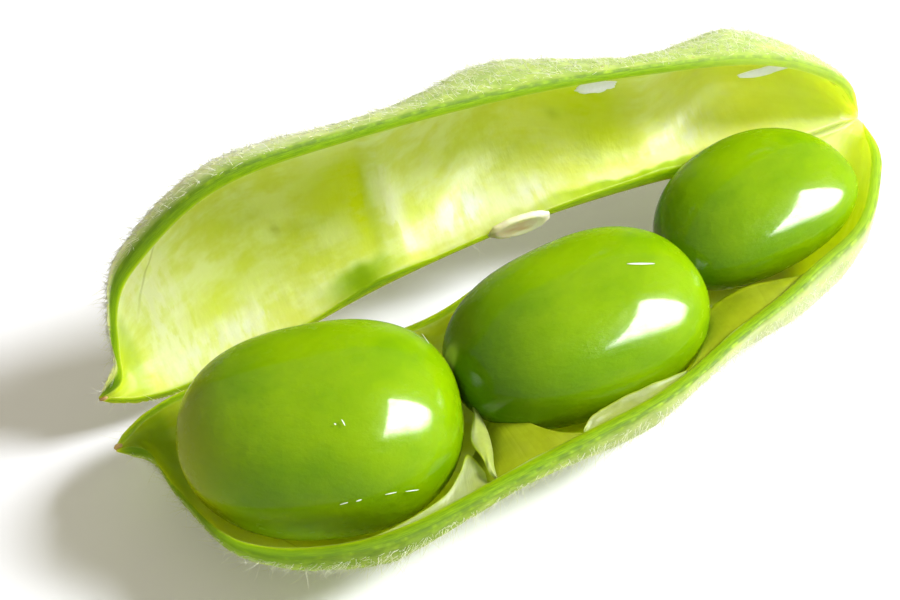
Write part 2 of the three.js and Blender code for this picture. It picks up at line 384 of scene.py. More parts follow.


# Bean skin. Fields: own = place in the bean's own axes as shares of its size,
# marks = (beak end, yellow above 0 and painted shade below; hilum; brownish edge).
def beanMaterial():
    material, tree, shader = newMaterial("beanSkin")
    look = beanLook
    own = fieldVector(tree, "own")
    yellow, hilum, brown = partsOf(tree, fieldVector(tree, "marks"))
    colour = mixed(tree, mottled(tree, own, 1.3, 0.3, 0.75), look["green"], look["deep"])
    colour = mixed(tree, yellow, colour, look["yellow"])
    # painted shade: a negative end mark darkens the bean's beak end
    colour = mixed(tree, ramped(tree, yellow, 0.0, -1.0), colour, look["shade"])
    colour = mixed(tree, brown, colour, look["brown"])
    colour = mixed(tree, hilum, colour, look["hilum"])
    rough = ramped(tree, mottled(tree, own, 4.0, 0.3, 0.8), 0, 1, 0.2, 0.32)
    dimples = bumped(tree, noiseAt(tree, own, 7.0, 5.0, 0.65), 0.35, 0.00022)
    coat = ramped(tree, mottled(tree, own, 12.0, 0.3, 0.6), 0, 1, 0.75, 1.0)
    # the coat thins out where it is seen edge on
    facing = addNode(tree, "ShaderNodeLayerWeight", {"Blend": 0.5}).outputs["Facing"]
    coat = times(tree, coat, ramped(tree, facing, 0.25, 0.65, 1.0, 0.25))
    setInputs(tree, shader, {
        "Base Color": colour, "Roughness": rough, "Normal": dimples, "Coat Weight": coat,
        "Subsurface Weight": 0.3, "Subsurface Scale": 0.0028, "Subsurface Radius": (0.6, 1.0, 0.03),
        "Coat Roughness": 0.1, "Coat IOR": 1.4, "Specular IOR Level": 0.06})
    return material


plainLook = {
    "patches": 900.0,  # scale of the mottling
    "grain": 3600.0,
}


# Small pieces: two colours mottled in the object's own place, and a fine grain.
def plainMaterial(name, colour, pale, roughness):
    material, tree, shader = newMaterial(name)
    place = addNode(tree, "ShaderNodeTexCoord").outputs["Object"]
    mask = mottled(tree, place, plainLook["patches"], 0.35, 0.65)
    grain = bumped(tree, noiseAt(tree, place, plainLook["grain"]), 0.3, 0.00008)
    setInputs(tree, shader, {
        "Base Color": mixed(tree, mask, colour, pale), "Normal": grain, "Roughness": roughness,
        "Subsurface Weight": 0.3, "Subsurface Scale": 0.001, "Subsurface Radius": (0.8, 1.0, 0.3)})
    return material


sheetLook = {
    "milky": tone(204, 218, 128),
    "green": tone(170, 194, 0),
    "edge": tone(206, 228, 16),
    "alpha": 0.86,
}
scarLook = {
    "milky": tone(232, 230, 186),
    "green": tone(204, 166, 116),
    "edge": tone(232, 230, 186),
    "alpha": 1.0,
}


# Torn lining and stalk scar. Field leaf = (milkiness, free edge, place along).
def sheetMaterial(name, look):
    material, tree, shader = newMaterial(name)
    leaf = fieldVector(tree, "leaf")
    milky, edge, _ = partsOf(tree, leaf)
    place = addNode(tree, "ShaderNodeTexCoord").outputs["Object"]
    patches = ramped(tree, mottled(tree, place, 500.0, 0.3, 0.7), 0, 1, 0.55, 1.1)
    milky = times(tree, milky, patches, clamp=True)
    colour = mixed(tree, milky, look["green"], look["milky"])
    colour = mixed(tree, edge, colour, look["edge"])
    veins = bumped(tree, noiseAt(tree, stretched(tree, leaf, (1, 3, 12)), 4.0), 0.3, 0.0001)
    solid = ramped(tree, mottled(tree, place, 900.0, 0.3, 0.7), 0, 1, look["alpha"], 1.0)
    solid = maths(tree, "MAXIMUM", edge, solid)
    setInputs(tree, shader, {
        "Base Color": colour, "Normal": veins, "Alpha": solid, "Roughness": 0.4, "Specular IOR Level": 0.25,
        "Subsurface Weight": 0.6, "Subsurface Scale": 0.0012, "Subsurface Radius": (0.8, 1.0, 0.25)})
    return material


wall = wallMaterial()
beanSkin = beanMaterial()
tornLining = sheetMaterial("tornLining", sheetLook)
downHair = plainMaterial("downHair", tone(228, 230, 186), tone(242, 243, 222), 0.5)
cork = plainMaterial("corkTip", tone(140, 100, 44), tone(198, 164, 104), 0.7)
scarCream = sheetMaterial("scarCream", scarLook)
# near white, partly a painted highlight and glint on the flakes and the bean scratches
whiteFlakeAndGlint = plainMaterial("whiteFlakeAndGlint", tone(250, 252, 246), tone(240, 246, 228), 0.3)
print("materials ready")

# Shape of the pod, in mm along it from the stem joint.
pod = {
    "outside": 0.25,  # outer skin beyond the seam line
    "inside": 0.6,  # inner skin inside it
    "bulge": (4.3, 4.7, 5.2),  # reach of the swell behind each bean
    "beakTaper": 0.27,  # share of the length over which the depth runs out
}
# Each valve. lime, milk and olive are stains of the lining, with some milk a painted highlight and the olive
# at the beak painted shade:
# along, round (0 concave seam, 1 convex), reach towards the stem, reach towards the beak, reach round,
# strength.
lying = {
    "name": "lyingValve",
    "seeds": (9.4, 22.7, 37.2),  # where the valve swells
    "depths": (6.0, 5.95, 5.8),
    "waist": 3.2,  # depth between the beans
    "stemTaper": 0.17,
    "fullWidth": 2.2,  # the valve gets shallower where half its width comes down to this
    "powers": (2.5, 1.75),  # boxiness beside the concave and the convex seam
    "fuller": 0.5,  # added to the convex one under the first bean
    # where the concave seam bows out and the convex one swells: by, reach, middle
    "bows": ((2.9, 3.8, 9.6), (2.0, 4.3, 23.2), (-1.5, 2.5, 15.8)),
    "swells": ((0.55, 4.5, 20.5), (0.3, 3.0, 12.0), (0.6, 2.8, 5.6), (0.62, 3.6, 43.2)),
    # width of each rim: along, how far the inner skin lies inside the seam
    "convexRim": ((0, 0.5), (8, 0.42), (22, 0.5), (30, 0.62), (47, 0.5)),
    "concaveRim": ((0, 0.35), (47, 0.3)),
    "stand": 7.0, "yaw": 0.0, "pitch": 0.0, "facing": 1,  # degrees, and which way the hollow looks
    "teeth": 0.0,  # torn fringe of the concave rim near the beak
    "amber": 4.5,  # the concave rim is yellow up to here
    "fade": 0.1,  # how far the green of the convex rim fades at the stem
    "patches": (),  # green of the concave rim spread over the lining: middle, reach along, reach round
    "ridges": ((28.6, 1.0, 0.3), (15.6, 1.0, 0.3)),  # lining raised between the beans: middle, reach, by
    "seed": 11,
    "lime": (
        (12.0, 0.75, 14.0, 30.0, 0.35, 0.6), (27.0, 0.85, 4.0, 3.0, 0.12, 0.5),
        (3.5, 0.5, 2.0, 2.5, 1.0, 0.7)),
    "milk": ((15.0, 0.93, 3.0, 3.0, 0.06, 0.5), (31.0, 0.96, 3.5, 5.0, 0.05, 0.6)),
    # the olive stain at 46.5 is painted shade in the narrow beak end, and darkens the rim there too
    "olive": ((31.0, 0.75, 3.0, 2.0, 0.15, 0.3), (46.5, 0.5, 3.2, 3.0, 1.2, 1.0)),
    "nap": ((0, 0.6), (16, 0.6), (23, 0.3), (28, 0.08), (47, 0.03)),  # strength of the down's painted sheen, along
    # green belt of the outer skin beside the rims: along, share round
    "greenSkin": ((0, 0.01), (20, 0.015), (28, 0.04), (38, 0.07), (47, 0.1)),
    "bald": 0.035,  # share round beside the convex rim that has no hairs
}
standing = {
    "name": "standingValve",
    "seeds": (6.7, 21.4, 37.2),
    "depths": (6.05, 5.9, 4.6),
    "waist": 3.1,
    "stemTaper": 0.09,
    "fullWidth": 1.5,
    "powers": (2.4, 1.75),
    "fuller": 0.0,
    "bows": (),
    "swells": ((0.12, 6.0, 35.0), (0.4, 2.0, 44.6)),
    "convexRim": (
        (0, 0.45), (14, 0.45), (30, 0.5), (38, 0.7), (42, 0.95), (44.5, 1.1), (45.6, 1.9), (47, 1.3)),
    "concaveRim": (
        (0, 0.4), (6, 0.6), (12, 0.7), (18, 0.45), (22, 0.2), (27, 0.2), (30.5, 0.7), (34, 0.25), (47, 0.3)),
    "stand": 86.6, "yaw": 4.8, "pitch": -1.3, "facing": -1,
    "teeth": 0.11,
    "amber": 5.5,
    "fade": 0.35,
    "patches": ((31.3, 1.9, 0.14), (14.0, 8.0, 0.05)),
    "ridges": ((28.5, 0.8, 0.28), (13.0, 1.1, 0.25), (29.35, 0.25, 0.08)),
    "seed": 31,
    "lime": (
        (29.9, 0.52, 0.35, 3.4, 0.17, 1.0), (30.0, 0.28, 0.35, 1.0, 0.2, 0.7),
        (16.2, 0.52, 1.6, 2.8, 0.16, 0.95), (15.2, 0.28, 1.2, 1.8, 0.16, 0.7),
        (22.5, 0.6, 2.0, 2.0, 0.09, 0.45), (6.0, 0.5, 3.5, 3.5, 0.2, 0.35),
        (38.5, 0.25, 5.0, 5.0, 0.1, 0.35), (45.4, 0.3, 0.6, 3.0, 0.5, 0.9)),
    # the milk stains at 24.6 and 38.8 near the lower seam are partly painted highlights on the wet lining
    "milk": (
        (24.6, 0.12, 1.4, 2.0, 0.07, 1.3), (38.8, 0.09, 3.5, 3.8, 0.08, 0.6),
        (10.2, 0.18, 2.0, 1.6, 0.09, 0.7), (28.4, 0.3, 0.6, 0.6, 0.25, 0.6),
        (42.6, 0.42, 1.8, 1.5, 0.4, 0.55), (20.4, 0.07, 1.2, 1.2, 0.05, 0.6),
        (18.5, 0.935, 2.0, 4.0, 0.02, 1.3), (7.0, 0.93, 5.0, 6.0, 0.05, 0.6),
        (2.5, 0.88, 3.0, 3.5, 0.12, 0.8)),
    "olive": (
        (34.9, 0.4, 0.25, 0.25, 0.02, 0.45), (36.0, 0.47, 1.2, 1.2, 0.025, 0.2),
        (33.2, 0.38, 1.5, 1.5, 0.03, 0.2), (17.9, 0.42, 0.3, 0.4, 0.03, 0.35),
        (31.3, 0.0, 1.8, 2.2, 0.13, 0.45), (16.5, 0.2, 0.8, 0.8, 0.08, 0.25)),
    "nap": ((0, 0.3), (25, 0.35), (35, 1.0), (47, 1.3)),
    "greenSkin": ((0, 0.01), (28, 0.015), (36, 0.035), (47, 0.05)),
    "bald": 0.01,
}
# Seams of a valve laid flat: along from the stem joint to the beak, across.
concaveSeam = np.array([
    (0, 0), (3.2, 0), (8, 0.3), (14.5, 1.5), (22, 2), (30, 1.2), (37.5, -0.6), (42.6, -1.4),
    (44.9, -1.1), (46, -0.6), (47.2, 0.2)])
convexSeam = np.array([
    (0, 0.5), (1.7, 4.2), (6.8, 8.15), (14.5, 10.9), (22, 12.7), (30, 13.7), (37.5, 13.7),
    (42.8, 10.2), (44.7, 5.2), (45.4, 1.7), (47.2, 0.4)])

shell = {
    "rows": 440,
    "arc": 66,  # points round the outer and the inner skin
    "rimSteps": 8,
    "crown": 0.12,  # how far the rim swells above the seam plane
    "hollow": (0.012, 0.075, 0.875, 0.965),  # shares of the length where the hollow opens and closes
    "ends": 0.0005,  # share of the length left off at either end
    "even": 0.65,  # share of the rows that are spread evenly, the others crowd at the ends
    "growth": 20,  # the skin is as thick as it gets from 1 / 20 of the length on
    "around": 20,  # the relief's own scale round the skin
    "pimples": (0.05, 2.1, 2.1),  # height, how close together along and round
    "veins": (0.06, 0.9, 0.25),
    "fibres": (0.03, 2.4, 0.35),
    "fringe": (41.5, 43, 45.3, 46.3),  # where the torn fringe begins, is full, fades and ends
    "groove": (44.2, 44.8, 0.55),  # green groove at the beak: where it begins, is full, how green
    "brown": (0.991, 0.999),  # shares of the length where the beak turns brown
    "lip": 0.012,  # share round that the rim's green runs over
}


# Both seams with their bows and swells; a swell goes square to the convex seam.
def seams(valve, share):
    low, high = splineAt(concaveSeam, share), splineAt(convexSeam, share)
    for by, reach, middle in valve["bows"]:
        low[:, 1] -= by * bump(low[:, 0], middle, reach)
    outwards = unit(np.gradient(high, axis=0)) @ np.array([(0, 1), (-1, 0)])
    for by, reach, middle in valve["swells"]:
        high = high + outwards * by * bump(high[:, :1], middle, reach)
    return low, high


# Depth: a swell behind each bean on a shallow waist, rounded off at both ends and thin where it is narrow.
def depthAt(valve, share, along, halfWidth):
    stem = np.maximum(0, 1 - share / valve["stemTaper"])
    beak = np.maximum(0, 1 - (1 - share) / pod["beakTaper"])
    depth = valve["waist"]
    for full, middle, reach in zip(valve["depths"], valve["seeds"], pod["bulge"]):
        depth = depth + (full - valve["waist"]) * bump(along, middle, reach)
    narrow = 1 - np.exp(-halfWidth / valve["fullWidth"])
    return depth * narrow * np.sqrt((1 - stem**2) * (1 - beak**2))


# Half a superellipse hung between the seams: side = -cos(pi k)^(2/power), down = sin(pi k)^(2/power),
# each times its reach, which the offset grows or shrinks. keep holds back the depth near the ends.
def valveArc(valve, share, k, offset, keep=1.0):
    low, high = seams(valve, share)
    middle, span = (low + high) / 2, high - low
    width = np.linalg.norm(span, axis=-1)
    direction = span / width[:, None]
    half = width[:, None] / 2
    fall = depthAt(valve, share, middle[:, 0], width / 2)[:, None]
    reach = np.maximum(half + offset, 0.25 * half)
    fall = np.maximum(fall + offset, 0) * keep
    fuller = valve["fuller"] * smooth(20, 8, middle[:, :1])
    power = np.where(k > 0.5, valve["powers"][1] + fuller, valve["powers"][0])
    side = reach * signedPower(-np.cos(np.pi * k), 2 / power)
    down = fall * np.abs(np.sin(np.pi * k)) ** (2 / power)
    x = middle[:, :1] + direction[:, :1] * side
    y = middle[:, 1:] + direction[:, 1:] * side
    return np.stack([x, y, -down], -1)


def alongTable(table, along):
    return np.interp(along, *np.array(table).T)


# Places round a section, from 0 to 1, closer together beside the seams.
def easedArc(count):
    t = np.linspace(0, 1, count)
    return 0.2 * t + 0.8 * (1 - np.cos(np.pi * t)) / 2


# Stains: the sum of strength times a bell curve round the section times one along it, wider on one side.
def stains(spots, along, across):
    total = 0
    for alongMiddle, acrossMiddle, back, ahead, wide, strength in spots:
        reach = np.where(along < alongMiddle, back, ahead)
        total = total + strength * bump(along, alongMiddle, reach) * bump(across, acrossMiddle, wide)
    return np.clip(total, 0, 1)


# Shares of the length at which the sections lie: partly even, partly crowded at both ends by a cosine.
def sectionShares():
    even = np.linspace(0, 1, shell["rows"])
    crowded = 0.5 - 0.5 * np.cos(np.pi * even)
    share = crowded * (1 - shell["even"]) + even * shell["even"]
    return shell["ends"] + (1 - 2 * shell["ends"]) * share


def relief(kind, along, k, seed):
    height, closeAlong, closeRound = shell[kind]
    return height * noise2(along * closeAlong, k * shell["around"] * closeRound, seed, 2)


# Closed sections: outer arc, rounded rim, inner arc back and the other rim.
def valveSections(valve, share, along):
    k = easedArc(shell["arc"])[None, :]
    seed = valve["seed"]
    growth = np.minimum(1, shell["growth"] * np.minimum(share, 1 - share))[:, None]
    rim = np.sin(np.pi * k) ** 0.3
    lumps = relief("pimples", along, k, seed) + relief("veins", along, k, seed + 5)
    begins, full, fades, ends = shell["fringe"]
    fringe = smooth(begins, full, along) * smooth(ends, fades, along) * bump(k, 0, 0.03)
    ragged = noise2(along, k * shell["around"], seed + 7)
    teeth = valve["teeth"] * fringe * np.abs(np.sin(along * 11 + 3 * ragged))
    outer = valveArc(valve, share, k, (pod["outside"] + lumps * rim + teeth) * growth)
    begins, full, fades, ends = shell["hollow"]
    keep = (smooth(begins, full, share) * (1 - smooth(fades, ends, share)))[:, None]
    ridges = sum(high * bump(along, middle, wide) for middle, wide, high in valve["ridges"])
    fibres = relief("fibres", along, k, seed + 9) * bump(k, 0.12, 0.12)
    inside = pod["inside"]
    for table, seam in ((valve["convexRim"], 1), (valve["concaveRim"], 0)):
        inside = inside + (alongTable(table, along) - pod["inside"]) * bump(k, seam, 0.1)
    inner = valveArc(valve, share, k, -(inside * growth + (ridges + fibres) * rim * keep), keep)
    t = np.linspace(0, 1, shell["rimSteps"] + 2)[1:-1][None, :, None]
    crown = shell["crown"] * np.sin(np.pi * t) ** 0.6 * growth[:, :, None] * (0, 0, 1)
    convexRim = outer[:, -1:] * (1 - t) + inner[:, -1:] * t + crown
    concaveRim = inner[:, :1] * (1 - t) + outer[:, :1] * t + crown * 0.5
    return np.concatenate([outer, convexRim, inner[:, ::-1], concaveRim], axis=1)


# The wall material's fields zone, stain and spot, in the sections' order round.
def valveFields(valve, share, along):
    rows, arc, steps = shell["rows"], shell["arc"], shell["rimSteps"]
    k = easedArc(arc)
    step = np.linspace(0, 1, steps)
    isInner = np.concatenate([np.zeros(arc), step, np.ones(arc), step[::-1]])
    isInner = isInner[None, :] * smooth(0, 0.01, share)[:, None]
    across = np.concatenate([k, np.ones(steps), k[::-1], np.zeros(steps)])[None, :]
    edge = np.minimum(k, 1 - k)
    greenSkin = np.exp(-((edge / alongTable(valve["greenSkin"], along)) ** 1.5))
    edge = np.tile(np.exp(-edge / shell["lip"]), (rows, 1))
    ones = np.ones((rows, steps))
    isRim = np.concatenate([np.maximum(greenSkin, edge) * 0.9, ones, edge[:, ::-1] ** 2 * 0.5, ones], axis=1)
    amber = smooth(valve["amber"] - 2, valve["amber"] + 2, along)
    isRim = isRim * np.where(across < 0.5, amber, 1 - valve["fade"] * smooth(15, 5, along))
    for middle, reach, wide in valve["patches"]:
        ragged = across + 0.3 * wide * noise2(along * 0.9, along * 0, valve["seed"] + 13, 2)
        isRim = np.maximum(isRim, isInner * bump(along, middle, reach) * smooth(wide, wide / 2, ragged))
    begins, full, green = shell["groove"]
    isRim = np.maximum(isRim, smooth(begins, full, along) * isInner * green)
    beak = smooth(*shell["brown"], share)[:, None]
    lime, milk, olive = (stains(valve[kind], along, across) * isInner for kind in ("lime", "milk", "olive"))
    # on the outer skin the same field carries the strength of the down's painted sheen
    milk = milk + alongTable(valve["nap"], along) * (1 - isInner)
    return joined(isInner, isRim, beak), joined(lime, milk, olive), joined(along / 10, across * 2.2, isInner)


# A closed wall of sections from the stem to the beak; the outer skin is kept for the down.
def valveShell(valve):
    share = sectionShares()
    along = sum(seams(valve, share))[:, :1] / 2
    sections = valveSections(valve, share, along)
    local, zone, stain, spot = closedEnds(sections, *valveFields(valve, share, along))
    points = toWorld(local, valve)
    points[:, 2] = np.maximum(points[:, 2], 0)
    fields = {"zone": zone, "stain": stain, "spot": spot}
    newPiece(valve["name"], points, tubeFaces(*sections.shape[:2]), wall, fields, replaces="pod_shell")
    return points[:-2].reshape(sections.shape)[:, :shell["arc"]]


skins = {valve["name"]: valveShell(valve) for valve in (lying, standing)}

# Beans in the lying valve's axes; turn is yaw, tilt and pitch. hilum and brown are directions in the bean's
# own axes, end is where its beak end starts to turn yellow (above 0) or takes painted shade (below 0), and
# how much.
beans = [
    {"name": "fineBeanStemEnd", "node": "bean_stem_end", "at": (9.85, 3.55, 0.6), "half": (6.1, 4.4, 3.05),
     "turn": (4, -8, 4.5), "egg": -0.04, "bend": 0.6, "power": 2.18,
     "hilum": (0.2, -0.9, -0.6), "brown": (0.95, -0.2, 0.1), "brownness": 0.6, "end": (-0.1, -0.7)},
    {"name": "fineBeanMiddle", "node": "bean_middle", "at": (22.72, 6.68, 0.6), "half": (7.4, 5.05, 4.12),
     "turn": (1, -4, -2), "egg": -0.07, "bend": 0, "power": 2.3,
     "hilum": (0.97, -0.12, 0.22), "brown": (0.9, -0.3, 0.5), "brownness": 0.15, "end": (0.0, -0.9)},
    {"name": "fineBeanBeakEnd", "node": "bean_beak_end", "at": (37.4, 6.25, 1.0), "half": (7.4, 5.4, 5.25),
     "turn": (-21.5, -6, -1), "egg": -0.05, "bend": -0.28, "power": 2.3,
     "hilum": (0.3, -0.95, -0.3), "brown": (0.85, -0.3, 0.5), "brownness": 0.1, "end": (0.5, 0.65)},
]
beanMesh = {
    "rings": 120,
    "sides": 168,
    "wobble": 0.05,
    "lumps": 1.7,  # how close together the wobble's lumps are
    "hilum": (0.14, 0.14, 0.42),  # half sizes of the scar where the bean hung
}


# Points of a bean from its own shares: times its half sizes, the girth times 1 + egg x length, bent sideways
# by bend x length^2, and turned.
def beanPoints(bean, own):
    local = own * bean["half"] * (1 + own[:, :1] * (0, bean["egg"], bean["egg"]))
    local = local + own[:, :1] ** 2 * (0, bean["bend"], 0)
    yaw, tilt, pitch = bean["turn"]
    turn = turnAbout((0, 0, 1), yaw) @ turnAbout((0, 1, 0), pitch) @ turnAbout((1, 0, 0), tilt)
    return toWorld(local @ turn.T + bean["at"], lying)


# Superellipsoid: lengthwise cos(lean)^(2 / power), girth sin(lean)^(2 / power), with a faint wobble.
def beanPiece(bean, seed):
    rings, sides = beanMesh["rings"], beanMesh["sides"]
    lean, angle = ballAngles(rings, sides)
    f = 2 / bean["power"]
    x = signedPower(np.cos(lean), f)
    girth = signedPower(np.sin(lean), f)
    y = girth * signedPower(np.cos(angle), f)
    z = girth * signedPower(np.sin(angle), f)
    grid = joined(x, y, z)
    own = np.concatenate([grid.reshape(-1, 3), [(1, 0, 0), (-1, 0, 0)]])
    lumps = own * beanMesh["lumps"] + 9
    wobble = noise2(lumps[:, 0], lumps[:, 1], seed) + noise2(lumps[:, 2], own[:, 1] + 9, seed + 3)
    wobble = beanMesh["wobble"] * wobble[:, None]
    points = beanPoints(bean, own * (1 + wobble / np.array(bean["half"])))
    start, strength = bean["end"]
    hilum = np.linalg.norm((unit(own) - unit(np.array(bean["hilum"]))) / beanMesh["hilum"], axis=-1)
    brown = np.linalg.norm(unit(own) - unit(np.array(bean["brown"])), axis=-1)
    marks = np.stack([
        smooth(start, 1.0, own[:, 0]) * strength, smooth(1.2, 0.6, hilum) * 0.8,
        smooth(0.45, 0.1, brown) * bean["brownness"]], -1)
    newPiece(bean["name"], points, tubeFaces(rings - 1, sides), beanSkin,
             {"own": own, "marks": marks}, replaces=bean["node"])


for number, bean in enumerate(beans):
    beanPiece(bean, 50 + number)

# Fine white scratches and droplets, their white partly painted glints: slivers on a bean from one own place
# to another, half width in mm.
scratches = {
    "bean": (1, 2, 2, 2, 2, 2, 2, 2),  # its number in beans
    "from": ((-0.375, 0.121, 0.949), (-0.79, -0.53, 0.53), (-0.2, 0.56, 0.87), (-0.25, 0.535, 0.882),
             (-0.14, 0.989, 0.219), (-0.25, 0.98, 0.225), (-0.44, 0.938, 0.208), (-0.57, 0.89, 0.14)),
    "to": ((-0.577, 0.213, 0.855), (-0.84, -0.36, 0.56), (-0.212, 0.575, 0.865), (-0.27, 0.59, 0.85),
           (-0.2, 0.982, 0.23), (-0.29, 0.97, 0.23), (-0.52, 0.91, 0.18), (-0.66, 0.835, 0.05)),
    "half": (0.07, 0.035, 0.04, 0.03, 0.035, 0.05, 0.035, 0.03),
    "proud": 1.008,  # times the bean's own place
    "rings": 8,
    "sides": 10,
}


# Each sliver is an ellipsoid: along half the chord, half wide and a third of that thick.
def scratchPiece():
    rings, sides = scratches["rings"], scratches["sides"]
    shape = closedEnds(roundGrid(rings, sides))[0]
    points, quads, ends = [], [], []
    grid, caps = tubeFaces(rings - 1, sides)
    for number, half in enumerate(scratches["half"]):
        bean = beans[scratches["bean"][number]]
        own = np.array([scratches["from"][number], scratches["to"][number]]) * scratches["proud"]
        start, end = beanPoints(bean, own)
        along = end - start
        outwards = unit((start + end) / 2 - toWorld(np.array(bean["at"]), lying))
        side = unit(np.cross(along, outwards))
        up = np.cross(side, unit(along))
        sliver = shape[:, :1] * along / 2 + shape[:, 1:2] * side * half + shape[:, 2:] * up * half / 3
        quads.append(grid + number * len(shape))
        ends.append(caps + number * len(shape))
        points.append((start + end) / 2 + sliver)
    newPiece("scratches", np.concatenate(points), [np.concatenate(quads), np.concatenate(ends)], whiteFlakeAndGlint)


scratchPiece()

# Leaves of lining torn loose, in the lying valve's axes: root and free edge run the same way, sag bellies
# them.
sheets = [
    {"name": "liningStrip", "milky": 1.0, "sag": -0.15,
     "root": ((42.4, 11.0, -0.35), (40.6, 12.6, -0.35), (37.8, 13.5, -0.3), (34.8, 13.65, -0.3),
              (33.0, 13.6, -0.3), (32.0, 13.5, -0.3), (31.3, 13.4, -0.3)),
     "free": ((42.4, 10.9, -0.35), (40.2, 12.2, -0.4), (37.2, 12.95, -0.3), (33.9, 12.8, -0.15),
              (32.2, 11.8, -0.1), (31.3, 10.95, 0.0), (31.0, 12.3, -0.2))},
    {"name": "liningCurl", "milky": 0.9, "sag": 0.25,
     "root": ((29.5, 8.0, -0.3), (29.55, 8.9, -0.3), (29.7, 10.0, -0.3), (30.0, 11.1, -0.3),
              (30.4, 12.1, -0.25), (30.65, 13.0, -0.2)),
     "free": ((29.65, 7.9, 0.3), (30.0, 9.0, 0.3), (30.85, 10.5, 0.3), (30.85, 11.9, 0.25),
              (30.95, 12.7, 0.1), (30.8, 13.2, -0.1))},
    {"name": "liningSheet", "milky": 0.05, "sag": 0.2,
     "root": ((35.4, 13.7, -0.55), (33.2, 13.65, -0.5), (31.2, 13.5, -0.45), (29.2, 13.3, -0.4),
              (27.4, 13.1, -0.35), (26.4, 12.95, -0.35), (25.6, 12.85, -0.35)),
     "free": ((34.6, 12.5, -1.5), (32.4, 10.8, -1.9), (30.6, 9.6, -1.8), (29.0, 8.9, -0.7),
              (27.9, 9.9, -0.4), (27.0, 11.3, -0.35), (25.9, 12.5, -0.35))},
    {"name": "liningEdge", "milky": 0.8, "sag": -0.1,
     "root": ((25.6, 12.9, -0.3), (24.6, 12.9, -0.25), (23.4, 12.85, -0.25), (22.0, 12.7, -0.25),
              (20.4, 12.45, -0.25), (18.6, 12.0, -0.25)),
     "free": ((25.5, 12.6, -0.15), (24.8, 12.15, 0.05), (23.8, 11.95, 0.05), (22.5, 11.85, 0.05),
              (20.8, 11.9, 0.0), (18.8, 11.85, -0.2))},
    {"name": "liningStem", "milky": 0.05, "sag": 0.15,
     "root": ((19.4, 12.25, -0.3), (17.4, 11.75, -0.3), (15.4, 11.1, -0.3), (13.4, 10.5, -0.35),
              (11.4, 9.9, -0.45), (9.8, 9.4, -0.6), (8.2, 8.8, -0.9)),
     "free": ((18.9, 11.9, -0.35), (16.7, 9.8, -0.7), (15.3, 8.2, -0.7), (13.0, 8.2, -0.3),
              (11.2, 8.75, -0.3), (9.8, 8.9, -0.5), (8.4, 8.5, -0.9))},
]
sheetMesh = {"rows": 60, "columns": 16, "thick": 0.05, "ripple": 0.05}


# A leaf between two outlines: root (1 - t) + free t + sag sin(pi t), rippled, with two sides and closed
# edges.
def sheetPiece(sheet, seed):
    rows, columns = sheetMesh["rows"], sheetMesh["columns"]
    s = np.linspace(0, 1, rows)
    t = np.linspace(0, 1, columns)[None, :, None]
    root, free = (splineAt(np.array(sheet[side]), s)[:, None] for side in ("root", "free"))
    ripple = sheetMesh["ripple"] * noise2(s[:, None] * 9, t[..., 0] * 3, seed, 2)
    lift = sheet["sag"] * np.sin(np.pi * t) + ripple[..., None] * t
    middle = root * (1 - t) + free * t + lift * (0, 0, 1)
    half = sheetMesh["thick"] / 2 * (1 - 0.6 * t) * (0, 0, 1)
    loop = np.concatenate([middle + half, (middle - half)[:, ::-1]], axis=1)
    reach = t[..., 0]
    milky = sheet["milky"] * (0.75 + 0.25 * noise2(s[:, None] * 5, reach * 2, seed + 2))
    leaf = joined(milky, smooth(0.86, 1.0, reach), s[:, None])
    local, leaf = closedEnds(loop, np.concatenate([leaf, leaf[:, ::-1]], axis=1))
    newPiece(sheet["name"], toWorld(local, lying), tubeFaces(rows, 2 * columns), tornLining, {"leaf": leaf})


for number, sheet in enumerate(sheets):
    sheetPiece(sheet, 70 + number)

# White bits peeled off under the standing rim, their white partly a painted highlight: middle and half sizes
# in the standing valve's axes, and turn.
flakes = [
    {"name": "peelBeak", "at": (16.65, 10.35, -0.35), "half": (1.25, 0.42, 0.06), "turn": 18, "hang": 0.3},
    {"name": "peelStem", "at": (6.5, 6.75, -0.35), "half": (1.7, 0.34, 0.06), "turn": 12, "hang": 0.15},
]
flakeMesh = {"rings": 12, "sides": 72, "ragged": 0.12}


# A thin lens with a ragged lower side: half x (cos a, sin a) r, its lower edge let down by hang and noise.
def flakePiece(flake, seed):
    lean, a = ballAngles(flakeMesh["rings"], flakeMesh["sides"])
    r = np.sin(lean)
    ragged = 1 + flakeMesh["ragged"] * noise2(a * 3, a * 0, seed, 2)
    hang = flake["hang"] * r * np.maximum(-np.sin(a), 0) * noise2(a * 2, a * 0, seed + 1)
    x, y = r * np.cos(a) * ragged, r * np.sin(a) * ragged - hang
    grid = joined(x, y, np.cos(lean)) * flake["half"]
    placedBall(flake["name"], grid, flake, standing, whiteFlakeAndGlint)


for number, flake in enumerate(flakes):
    flakePiece(flake, 90 + number)

# Stalk scar of a bean on the standing valve's lower seam: a flattened oval dish with a raised rim.
scar = {
    "at": (21.85, 1.95, 0.05),
    "half": (1.9, 0.8),
    "dish": 0.22,  # height of the dish over the seam plane
    "under": 0.2,
    "rim": (0.07, 0.8, 0.16),  # height, radius it runs at, width
    "turn": 4,
    "rings": 28,
    "sides": 96,
}


